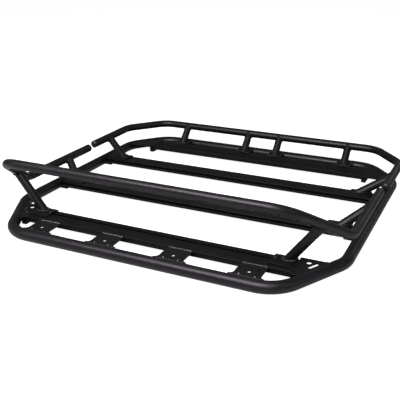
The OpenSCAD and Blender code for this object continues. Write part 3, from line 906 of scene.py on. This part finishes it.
def make_rear_tab(index, x):
    near = PLANK_Y[3] + OUTER_W + WELD_GAP
    far = RING_HALF_L - TAB_ROOT
    half = REAR_TAB_W / 2
    shape = Shape()
    flat_plate(shape, [[(x - half, near), (x - half, far), (x + half, far), (x + half, near)]])
    shape.make("rear_tab_%d" % index, PLATE_COAT, ("tab_rear_%d" % index,))
    beads = Shape()
    half -= SHORT_END_INSET
    level_bead(beads, x - half, x + half, near + BEAD_OFF, PLATE_TOP + BEAD_LIFT, REAR_TAB_PLANK_BEAD)
    y = ring_edge(PLATE_TOP, RING_HALF_L, -1) - BEAD_OFF
    level_bead(beads, x - half, x + half, y, PLATE_TOP, TAB_RING_BEAD)
    beads.make("rear_tab_welds_%d" % index, WELD_COAT)


def add_plank_foot(shape, s, plank_y):
    """The block beside a plank's end face, from the plate down to near the ground."""
    x0 = OUTER_HALF + WELD_GAP
    x1 = x0 + FOOT_BLOCK_L
    top = PLATE_TOP - FOOT_BLOCK_DROP
    outline = fillet([(x0, FOOT_BLOCK_Z), (x0, top), (x1, top), (x1, FOOT_BLOCK_Z)], FOOT_BLOCK_SOFT)
    turn = Matrix(((s, 0, 0, 0), (0, 0, 1, 0), (0, 1, 0, 0), (0, 0, 0, 1)))
    place = Matrix.Translation(rack(0, plank_y + OUTER_W / 2, 0)) @ turn
    sheet_solid(shape, [outline], OUTER_W, PLATE_EDGE, place)


def add_plank_end_bead(shape, s, plank_y):
    """The weld between a corner plate and its plank's end."""
    x = s * (OUTER_HALF + WELD_GAP)
    z = PLATE_TOP + 2 * BEAD_LIFT
    ends = (plank_y + BEAD_END_INSET, plank_y + OUTER_W - BEAD_END_INSET)
    weld_bead(shape, [rack(x, y, z) for y in ends], PLANK_END_BEAD)


def make_corner_front(s, name, node):
    x0 = OUTER_HALF + WELD_GAP
    inner = PLANK_Y[0] + OUTER_W + CORNER_OVERRUN
    outer = PLANK_Y[0] - CORNER_OUTRUN
    edge_a = (chamfer_x(inner, True) - CORNER_ROOT, inner)
    edge_b = (chamfer_x(outer, True) - CORNER_ROOT, outer)
    outline = fillet([(x0, outer), (x0, inner), edge_a, edge_b], [PLATE_END_R, PLATE_CORNER_R, 0, 0])
    angle = math.atan2(FRONT_CHAMFER_L, FRONT_CHAMFER_W)
    middles = [(OUTER_HALF + x, PLANK_Y[0] + y) for x, y in (CORNER_HOLE, CORNER_SLOT, CORNER_PIN)]
    hole = round_hole(*middles[0], CORNER_HOLE_R, HOLE_SIDES)
    slot = long_hole(*middles[1], CORNER_SLOT_L, CORNER_SLOT_W, angle)
    pin = round_hole(*middles[2], CORNER_PIN_R, PIN_SIDES)
    shape = Shape()
    flat_plate(shape, [flip(loop, s) for loop in (outline, hole, slot, pin)])
    add_plank_foot(shape, s, PLANK_Y[0])
    shape.make(name, PLATE_COAT, (node,))
    beads = Shape()
    weld_bead(beads, [rack(s * x, y, PLATE_TOP) for x, y in (edge_a, edge_b)], CORNER_BEAD)
    add_plank_end_bead(beads, s, PLANK_Y[0])
    beads.make(name + "_welds", WELD_COAT)


def make_corner_rear(s, name, node):
    x0 = OUTER_HALF + WELD_GAP
    inner = PLANK_Y[3] - CORNER_OVERRUN
    outer = PLANK_Y[3] + OUTER_W + CORNER_OUTRUN
    side = RING_HALF_W - REAR_SIDE_ROOT
    turn_y = RING_REAR_TURN_Y - REAR_TURN_INSET
    edge = (chamfer_x(outer, False) - REAR_CHAMFER_ROOT, outer)
    outline = fillet([(x0, outer), (x0, inner), (side, inner), (side, turn_y), edge],
                     [PLATE_END_R, PLATE_CORNER_R, 0, REAR_PLATE_BEND_R, 0])
    shape = Shape()
    flat_plate(shape, [flip(outline, s)])
    add_plank_foot(shape, s, PLANK_Y[3])
    shape.make(name, PLATE_COAT, (node,))
    beads = Shape()
    side_run = ((side, inner + SHORT_END_INSET), (side, turn_y))
    chamfer_run = ((side - REAR_BEAD_START[0], turn_y + REAR_BEAD_START[1]), edge)
    for run in (side_run, chamfer_run):
        weld_bead(beads, [rack(s * x, y, PLATE_TOP) for x, y in run], REAR_CORNER_BEAD)
    add_plank_end_bead(beads, s, PLANK_Y[3])
    beads.make(name + "_welds", WELD_COAT)


# Saddles, shoes and bolts.

def bolt_head(shape, point, way, size):
    """A domed button head with a hexagon socket, on a washer."""
    head_r, head_h, washer_r, washer_t = size
    turn = Vector((0, 0, 1)).rotation_difference(way).to_matrix().to_4x4()
    place = Matrix.Translation(point) @ turn
    soft_r = washer_r * WASHER_SOFT_SHARE
    profile = [(0.0, soft_r), (WASHER_SOFT, washer_r), (washer_t - WASHER_SOFT, washer_r),
               (washer_t, soft_r), (washer_t, head_r), (washer_t + HEAD_WALL, head_r)]
    profile += [(washer_t + head_h * up, head_r * share) for up, share in HEAD_CURVE]
    vertices = []
    for h, r in profile:
        for k in range(BOLT_SIDES):
            a = 2 * math.pi * k / BOLT_SIDES
            vertices.append(place @ Vector((r * math.cos(a), r * math.sin(a), h)))
    faces = []
    last = (len(profile) - 1) * BOLT_SIDES
    for low in range(0, last, BOLT_SIDES):
        for k in range(BOLT_SIDES):
            n = (k + 1) % BOLT_SIDES
            faces.append((low + k, low + n, low + BOLT_SIDES + n, low + BOLT_SIDES + k))
    base = len(vertices)
    socket_r = head_r * SOCKET_SHARE
    top = washer_t + head_h
    for depth in (0.0, -SOCKET_DEPTH):
        for k in range(6):
            a = math.pi / 3 * k
            vertices.append(place @ Vector((socket_r * math.cos(a), socket_r * math.sin(a), top + depth)))
    per = BOLT_SIDES // 6
    for k in range(6):
        n = (k + 1) % 6
        edge = [last + (k * per + j) % BOLT_SIDES for j in range(per + 1)]
        faces.append(tuple(edge) + (base + n, base + k))
        faces.append((base + k, base + n, base + 6 + n, base + 6 + k))
    faces.append(tuple(base + 6 + k for k in range(6)))
    shape.add(vertices, faces)


def make_saddle(name, node, x, y0, width, inset, length, lip_bolts):
    """A plate folded over its plank's rear edge, with two bolts in its lip or in its top."""
    z = PLANK_TOP + WELD_GAP
    y1 = y0 + width + WELD_GAP
    outline = [(y0 + inset, z), (y0 + inset, z + SADDLE_T), (y1 + SADDLE_T, z + SADDLE_T),
               (y1 + SADDLE_T, z - SADDLE_LIP), (y1, z - SADDLE_LIP), (y1, z)]
    shape = Shape()
    sheet_solid(shape, [fillet(outline, SADDLE_SOFT)], length, PLATE_EDGE, along_x(x, 0, 0))
    shape.make(name, PLATE_COAT, (node,))
    bolts = Shape()
    if lip_bolts:
        for dx in (-LIP_BOLT_X, LIP_BOLT_X):
            bolt_head(bolts, rack(x + dx, y1 + SADDLE_T, z - LIP_BOLT_DROP), Vector((0, 1, 0)), LIP_BOLT)
    else:
        bolt_x = x - math.copysign(SADDLE_BOLT_SHIFT, x)
        for back, size in ((TOP_SLOT_INSET, SADDLE_BOLT), (SADDLE_EDGE_BOLT_INSET, SADDLE_EDGE_BOLT)):
            bolt_head(bolts, rack(bolt_x, y0 + width - back, z + SADDLE_T), Vector((0, 0, 1)), size)
    bolts.make(name + "_bolts", BOLT_COAT, (), BOLT_SHARP)


def make_shoe(name, node, s, y0):
    """The channel under a middle plank's end, welded to the ring's side tube."""
    x_in = RING_HALF_W - RING_R - SHOE_L
    x_out = RING_HALF_W - SHOE_ROOT
    under = PLANK_TOP - INNER_T - WELD_GAP
    low = under - SHOE_T
    high = under + WELD_GAP + SHOE_WALL
    wall = SHOE_T + WELD_GAP
    outline = [(-wall, low), (-wall, high), (-WELD_GAP, high), (-WELD_GAP, under)]
    outline += [(INNER_W - y, z) for y, z in outline[::-1]]
    shape = Shape()
    place = along_x(s * (x_in + x_out) / 2, y0, 0)
    sheet_solid(shape, [fillet(outline, SHOE_SOFT)], x_out - x_in, PLATE_EDGE, place)
    shape.make(name, PLATE_COAT, (node,))
    beads = Shape()
    x = s * (RING_HALF_W - RING_R - 2 * BEAD_LIFT)
    for y in (y0 - wall, y0 + INNER_W + wall):
        weld_bead(beads, [rack(x, y, low + SHORT_END_INSET), rack(x, y, under + SHOE_WALL)], SHOE_BEAD)
    beads.make(name + "_welds", WELD_COAT)
    bolts = Shape()
    for dy in (SHOE_BOLT_INSET, INNER_W - SHOE_BOLT_INSET):
        bolt_head(bolts, rack(s * (x_in + SHOE_BOLT_X), y0 + dy, low), Vector((0, 0, -1)), SHOE_BOLT)
    bolts.make(name + "_bolts", BOLT_COAT, (), BOLT_SHARP)


# Posts.

def round_post(foot, top, radius, count):
    """A post's direction, and offsets from its axis to points round its skin."""
    lean = (top - foot).normalized()
    side = lean.orthogonal().normalized()
    other = lean.cross(side).normalized()
    turns = [2 * math.pi * k / count for k in range(count)]
    return lean, [(side * math.cos(a) + other * math.sin(a)) * radius for a in turns]


def coped_curve(foot, top, radius, rail_a, rail_b):
    """Where a post's surface meets the rail's, going round the post."""
    lean, skin = round_post(foot, top, radius, BEAD_POINTS)
    axis = (rail_b - rail_a).normalized()
    way = lean - axis * lean.dot(axis)
    qa = way.dot(way)
    curve = []
    for offset in skin:
        start = foot + offset
        gap = start - rail_a
        gap = gap - axis * gap.dot(axis)
        qb = 2 * gap.dot(way)
        qc = gap.dot(gap) - (RAIL_R + BEAD_LIFT) ** 2
        inside = max(qb * qb - 4 * qa * qc, 0.0)
        curve.append(start + lean * ((-qb - math.sqrt(inside)) / (2 * qa)))
    return curve


def foot_curve(foot, top, radius, count=BEAD_POINTS):
    """The outline of a leaning post where it stands on a level plate."""
    lean, skin = round_post(foot, top, radius, count)
    starts = [foot + offset for offset in skin]
    return [start - lean * ((start.z - foot.z) / lean.z) for start in starts]


def make_post(name, node, foot, top, radius, rail, foot_bead, foot_coat):
    """A post from its foot to a rail, with a weld at each end; rail is two points on the rail's axis."""
    lean, end_skin = round_post(foot, top, radius - POST_END_SLACK, POST_SIDES)
    end = top - lean * POST_TOP_TRIM
    vertices = foot_curve(foot, top, radius, POST_SIDES) + [end + offset for offset in end_skin]
    faces = []
    for k in range(POST_SIDES):
        n = (k + 1) % POST_SIDES
        faces.append((k, n, POST_SIDES + n, POST_SIDES + k))
    faces.append(tuple(range(POST_SIDES))[::-1])
    faces.append(tuple(POST_SIDES + k for k in range(POST_SIDES)))
    shape = Shape()
    shape.add(vertices, faces)
    shape.make(name, TUBE_COAT, (node,))
    beads = Shape()
    weld_bead(beads, coped_curve(foot, top, radius, *rail), POST_TOP_BEAD, closed=True)
    beads.make(name + "_top_weld", WELD_COAT)
    base = Shape()
    ring = [p + Vector((0, 0, BEAD_OFF)) for p in foot_curve(foot, top, radius + BEAD_OFF)]
    weld_bead(base, ring, foot_bead, closed=True, ripple=FOOT_RIPPLE)
    base.make(name + "_foot_weld", foot_coat)


def make_side_posts(s, side_name):
    """The three posts of one side, each from its saddle up to a rail."""
    saddle_top = PLANK_TOP + 2 * WELD_GAP + SADDLE_T
    rise = (rack(s * FRONT_RAIL_X, FRONT_RISE_Y, RAIL_Z), rack(s * BAR_X, BAR_Y, BAR_Z))
    foot = rack(s * FRONT_POST_X, PLANK_Y[0] + OUTER_W - POST_FOOT_BACK, saddle_top)
    top = rise[0].lerp(rise[1], FRONT_POST_RISE)
    # The front post's foot weld wears the painted-highlight weld coat, whose lighter colour stands in for the
    # glint on it.
    make_post("front_post_" + side_name, "post_front_" + side_name, foot, top, POST_R, rise,
              SIDE_FOOT_BEAD, HIGHLIGHT_PAINTED_WELD_COAT)
    arm = (rise[0], rack(s * FRONT_RAIL_X, FRONT_ARM_END_Y, RAIL_Z))
    foot_y = PLANK_Y[1] + INNER_W - POST_FOOT_BACK
    foot = rack(s * MIDDLE_POST_X, foot_y, saddle_top)
    top = rack(s * FRONT_RAIL_X, foot_y + MIDDLE_POST_RAKE, RAIL_Z)
    make_post("middle_post_" + side_name, "post_mid_" + side_name, foot, top, POST_R, arm,
              SIDE_FOOT_BEAD, WELD_COAT)
    arm = (rack(s * REAR_RAIL_X, REAR_ARM_END_Y, RAIL_Z), rack(s * REAR_RAIL_X, REAR_TURN_Y, RAIL_Z))
    foot_y = PLANK_Y[2] + INNER_W - POST_FOOT_BACK
    foot = rack(s * BACK_POST_X, foot_y, saddle_top)
    top = rack(s * REAR_RAIL_X, foot_y + BACK_POST_RAKE, RAIL_Z)
    make_post("back_post_" + side_name, "post_back_" + side_name, foot, top, POST_R, arm,
              SIDE_FOOT_BEAD, WELD_COAT)


def make_rear_posts():
    """The rear posts, each standing on its own tab."""
    foot_y = PLANK_Y[3] + OUTER_W + REAR_POST_BACK
    bar = (rack(-REAR_BAR_X, REAR_BAR_Y, RAIL_Z), rack(REAR_BAR_X, REAR_BAR_Y, RAIL_Z))
    for index, x in enumerate(REAR_POST_X, 1):
        foot = rack(x, foot_y, PLATE_TOP + WELD_GAP)
        top = rack(x, REAR_BAR_Y, RAIL_Z)
        make_post("rear_post_%d" % index, "post_rear_%d" % index, foot, top, REAR_POST_R, bar,
                  REAR_FOOT_BEAD, WELD_COAT)
        make_rear_tab(index, x)


# Studio.

def make_camera():
    """Stands where the photograph was taken from, in the rack's frame."""
    data = bpy.data.cameras.new("photo_camera")
    camera = bpy.data.objects.new("photo_camera", data)
    bpy.context.scene.collection.objects.link(camera)
    level = math.cos(CAMERA_PITCH)
    forward = Vector((-math.sin(CAMERA_YAW) * level, math.cos(CAMERA_YAW) * level, -math.sin(CAMERA_PITCH)))
    right = Vector((math.cos(CAMERA_YAW), math.sin(CAMERA_YAW), 0.0))
    down = forward.cross(right)
    right_rolled = right * math.cos(CAMERA_ROLL) + down * math.sin(CAMERA_ROLL)
    down_rolled = down * math.cos(CAMERA_ROLL) - right * math.sin(CAMERA_ROLL)
    turn = Matrix((right_rolled, -down_rolled, -forward)).transposed().to_4x4()
    camera.matrix_world = Matrix.Translation(rack(*CAMERA_PLACE)) @ turn
    data.sensor_width = SENSOR_W
    data.lens = FOCAL_PIXELS * SENSOR_W / PHOTO_PIXELS
    data.clip_start = 0.05
    data.clip_end = 60.0
    bpy.context.scene.camera = camera


def background_rays(tree, mirrored):
    """How much of the white background a ray meets: all of it straight from the camera or through glass."""
    light_path = add_node(tree, "ShaderNodeLightPath")
    shown = math_node(tree, "MULTIPLY", light_path.outputs["Is Glossy Ray"], mirrored)
    shown = math_node(tree, "ADD", shown, light_path.outputs["Is Camera Ray"], clamp=True)
    return math_node(tree, "ADD", shown, light_path.outputs["Is Transmission Ray"], clamp=True)


def make_world():
    world = bpy.data.worlds.new("studio")
    bpy.context.scene.world = world
    world.use_nodes = True
    tree = world.node_tree
    back = tree.nodes["Background"]
    shown = math_node(tree, "MULTIPLY", background_rays(tree, MIRRORED_WHITE), WORLD_SHOWN)
    tree.links.new(math_node(tree, "ADD", shown, WORLD_PLAIN), back.inputs["Strength"])
    back.inputs["Color"].default_value = WHITE


def floor_material():
    """White to the camera, plain to the lamps, and clear from below."""
    material = bpy.data.materials.new("white_sweep")
    material.use_nodes = True
    tree = material.node_tree
    shader = tree.nodes["Principled BSDF"]
    shader.inputs["Base Color"].default_value = FLOOR_COLOUR
    shader.inputs["Roughness"].default_value = 0.9
    shader.inputs["Specular IOR Level"].default_value = 0.0
    shader.inputs["Emission Color"].default_value = WHITE
    shown = math_node(tree, "MULTIPLY", background_rays(tree, 0.0), FLOOR_SHOWN)
    tree.links.new(shown, shader.inputs["Emission Strength"])
    side = add_node(tree, "ShaderNodeNewGeometry")
    clear = add_node(tree, "ShaderNodeBsdfTransparent")
    choose = add_node(tree, "ShaderNodeMixShader")
    tree.links.new(side.outputs["Backfacing"], choose.inputs["Fac"])
    tree.links.new(shader.outputs["BSDF"], choose.inputs[1])
    tree.links.new(clear.outputs["BSDF"], choose.inputs[2])
    tree.links.new(choose.outputs["Shader"], tree.nodes["Material Output"].inputs["Surface"])
    return material


def make_floor():
    corners = ((-1, -1), (1, -1), (1, 1), (-1, 1))
    mesh = bpy.data.meshes.new("studio_floor")
    mesh.from_pydata([(x * FLOOR_HALF, y * FLOOR_HALF, FLOOR_Z) for x, y in corners], [], [(0, 1, 2, 3)])
    floor = bpy.data.objects.new("studio_floor", mesh)
    bpy.context.scene.collection.objects.link(floor)
    mesh.materials.append(floor_material())


def soft_lamp(name, place, target, size_x, size_y, power):
    data = bpy.data.lights.new(name, "AREA")
    data.shape = "RECTANGLE"
    data.size = size_x
    data.size_y = size_y
    data.energy = power
    lamp = bpy.data.objects.new(name, data)
    bpy.context.scene.collection.objects.link(lamp)
    lamp.location = place
    lamp.rotation_euler = (Vector(target) - Vector(place)).to_track_quat("-Z", "Y").to_euler()


make_camera()
make_world()
make_floor()
for lamp_values in LAMPS:
    soft_lamp(*lamp_values)
make_ring()
make_rail("front_rail_tube", FRONT_RAIL_PATH, "front_rail")
make_rail("rear_rail_tube", REAR_RAIL_PATH, "rear_rail")
make_outer_plank("front_plank", PLANK_Y[0], OUTER_W - TOP_SLOT_INSET, "plank_front")
make_outer_plank("rear_plank", PLANK_Y[3], TOP_SLOT_INSET, "plank_rear")
make_inner_plank("middle_plank_front", PLANK_Y[1], "plank_mid_front")
make_inner_plank("middle_plank_rear", PLANK_Y[2], "plank_mid_rear")
for number in (1, 2, 3, 4):
    make_front_tab(number)
for s, side_name in ((-1, "left"), (1, "right")):
    make_corner_front(s, "front_corner_plate_" + side_name, "corner_front_" + side_name)
    make_corner_rear(s, "rear_corner_plate_" + side_name, "corner_rear_" + side_name)
    make_saddle("front_saddle_" + side_name, "saddle_front_" + side_name, s * FRONT_SADDLE_X, PLANK_Y[0],
                OUTER_W, FRONT_SADDLE_INSET, FRONT_SADDLE_L, False)
    for part, node_part, plank_y in (("middle", "mid", PLANK_Y[1]), ("back", "back", PLANK_Y[2])):
        make_saddle(part + "_saddle_" + side_name, "saddle_" + node_part + "_" + side_name, s * SIDE_SADDLE_X,
                    plank_y, INNER_W, SIDE_SADDLE_INSET, SIDE_SADDLE_L, True)
    make_shoe("middle_shoe_" + side_name, "shoe_mid_" + side_name, s, PLANK_Y[1])
    make_shoe("back_shoe_" + side_name, "shoe_back_" + side_name, s, PLANK_Y[2])
    make_side_posts(s, side_name)
make_rear_posts()

bpy.context.scene.view_settings.view_transform = "Standard"
